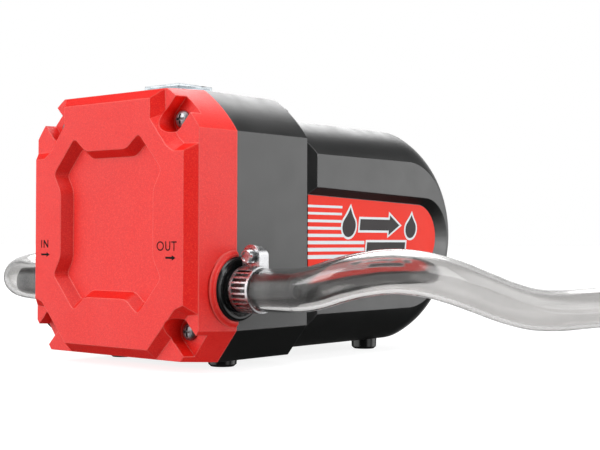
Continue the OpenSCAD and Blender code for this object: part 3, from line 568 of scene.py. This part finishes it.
bpy.ops.mesh.primitive_plane_add(size=1, location=(0, 0, -0.0002))
floor = bpy.context.object
floor.name = "floor"
floor.scale = (14, 14, 1)
fm = Mat("pale_floor")
pale = fm.mix(fm.ramp(fm.noise(1.2, 3), 0.3, 0.7, 0, 1), lin((150, 150, 151)), lin((154, 154, 154)))
fm.color(pale)
fm.set(Roughness=0.9, Specular_IOR_Level=0.05, Emission_Color=(1, 1, 1, 1), Emission_Strength=0.86)
floor.data.materials.append(fm.m)
floor.visible_glossy = False
floor.visible_diffuse = False

world = bpy.data.worlds.new("studio")
bpy.context.scene.world = world
world.use_nodes = True
wt = world.node_tree
bg = wt.nodes["Background"]
tc = wt.nodes.new("ShaderNodeTexCoord")


def wmath(kind, a, b):
    n = wt.nodes.new("ShaderNodeMath")
    n.operation = kind
    for k, v in enumerate((a, b)):
        if hasattr(v, "is_output"):
            wt.links.new(v, n.inputs[k])
        else:
            n.inputs[k].default_value = v
    return n.outputs[0]


def wramp(v, a, b, va, vb):
    n = wt.nodes.new("ShaderNodeMapRange")
    n.interpolation_type = "SMOOTHSTEP"
    for k, q in (("From Min", a), ("From Max", b), ("To Min", va), ("To Max", vb)):
        n.inputs[k].default_value = q
    wt.links.new(v, n.inputs["Value"])
    return n.outputs["Result"]


def softbox(direction, inner, outer, strength):
    """A round soft light in the room: full inside the inner angle, gone outside the outer one."""
    d = wt.nodes.new("ShaderNodeVectorMath")
    d.operation = "DOT_PRODUCT"
    wt.links.new(tc.outputs["Generated"], d.inputs[0])
    d.inputs[1].default_value = Vector(direction).normalized()
    return wramp(d.outputs["Value"], math.cos(math.radians(outer)), math.cos(math.radians(inner)), 0.0, strength)


sx = wt.nodes.new("ShaderNodeSeparateXYZ")
wt.links.new(tc.outputs["Generated"], sx.inputs[0])
lp = wt.nodes.new("ShaderNodeLightPath")
low = wmath("ADD", 0.03, wmath("MULTIPLY", lp.outputs["Is Diffuse Ray"], 0.5))     # pale floor under the part, kept out of the gloss
up = wramp(sx.outputs["Z"], -0.06, 0.02, 0.0, 1.0)
above = wmath("ADD", 0.15, wmath("MULTIPLY", lp.outputs["Is Diffuse Ray"], 0.13))
room = wmath("ADD", wmath("MULTIPLY", up, above), wmath("MULTIPLY", low, wmath("SUBTRACT", 1.0, up)))
for direction, inner, outer, strength in SOFTBOXES:
    room = wmath("ADD", room, softbox(direction, inner, outer, strength))
seen = lp.outputs["Is Camera Ray"]
room = wmath("MULTIPLY", room, wmath("SUBTRACT", 1.0, seen))
# light that comes through the clear pieces: the white backdrop, and a greyer room beside it
backdrop = wmath("MULTIPLY", lp.outputs["Is Transmission Ray"], wmath("ADD", 0.3, softbox((-0.6425, 0.766, 0.02), 34, 60, 0.7)))
room = wmath("MAXIMUM", room, backdrop)
wt.links.new(wmath("ADD", room, seen), bg.inputs["Strength"])
bg.inputs["Color"].default_value = (1, 1, 1, 1)


def area(name, loc, target, size, energy, color=(1, 1, 1), size_y=None):
    l = bpy.data.lights.new(name, "AREA")
    l.energy = energy
    l.color = color
    l.shape = "RECTANGLE"
    l.size = size
    l.size_y = size_y or size
    o = bpy.data.objects.new(name, l)
    bpy.context.scene.collection.objects.link(o)
    o.location = loc
    o.rotation_euler = (Vector(target) - Vector(loc)).to_track_quat("-Z", "Y").to_euler()
    return o


area("key", (-0.35, -1.1, 0.75), (0, -0.05, 0.05), 0.7, 9)
area("side", (1.15, 0.15, 0.45), (0.05, 0, 0.05), 0.7, 6)
area("top", (0.15, -0.1, 1.1), (0, 0.02, 0.08), 0.8, 4.5)

cam = bpy.data.cameras.new("camera")
cam_o = bpy.data.objects.new("camera", cam)
bpy.context.scene.collection.objects.link(cam_o)
R = Matrix(((0.766301, 0.005044, 0.642462), (0.642473, -0.01132, -0.766225), (0.003408, 0.999923, -0.011915)))
cam_o.matrix_world = Matrix.Translation((0.35112, -0.39510, 0.04987)) @ R.to_4x4()
cam.lens = 71.04
cam.sensor_width = 36
cam.clip_start, cam.clip_end = 0.01, 50
bpy.context.scene.camera = cam_o
bpy.context.scene.view_settings.view_transform = "Standard"
